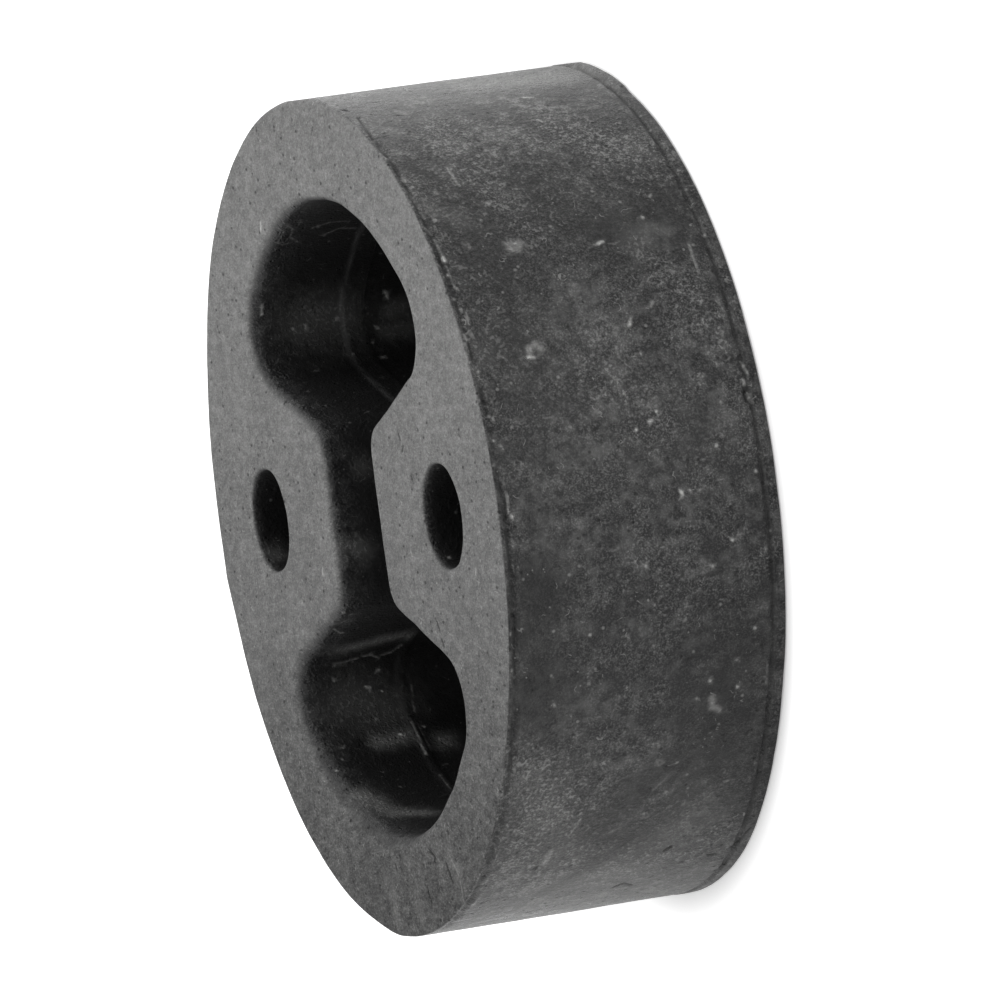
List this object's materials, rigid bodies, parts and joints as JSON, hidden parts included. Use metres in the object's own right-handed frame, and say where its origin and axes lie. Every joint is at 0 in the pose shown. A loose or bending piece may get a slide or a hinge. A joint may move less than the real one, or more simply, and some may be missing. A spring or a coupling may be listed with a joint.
{
  "type": "exhaust hanger rubber",
  "caption": "Thick round rubber exhaust hanger with a pin hole on each side of a waisted, two-lobed opening, worn and matt.",
  "frame": {"origin": "centre of the back face, on which the disc lies", "axes": "+Z along the pin holes towards the front face, X through the two pin holes, Y through the two lobes"},
  "size_m": [0.072, 0.072, 0.025],
  "materials": {
    "moulded_rubber": "matt moulded natural rubber with a grey bloom, fine grain and light scuffs"
  },
  "bodies": {
    "root": {"hanger_rubber": "moulded_rubber"}
  },
  "joints": []
}
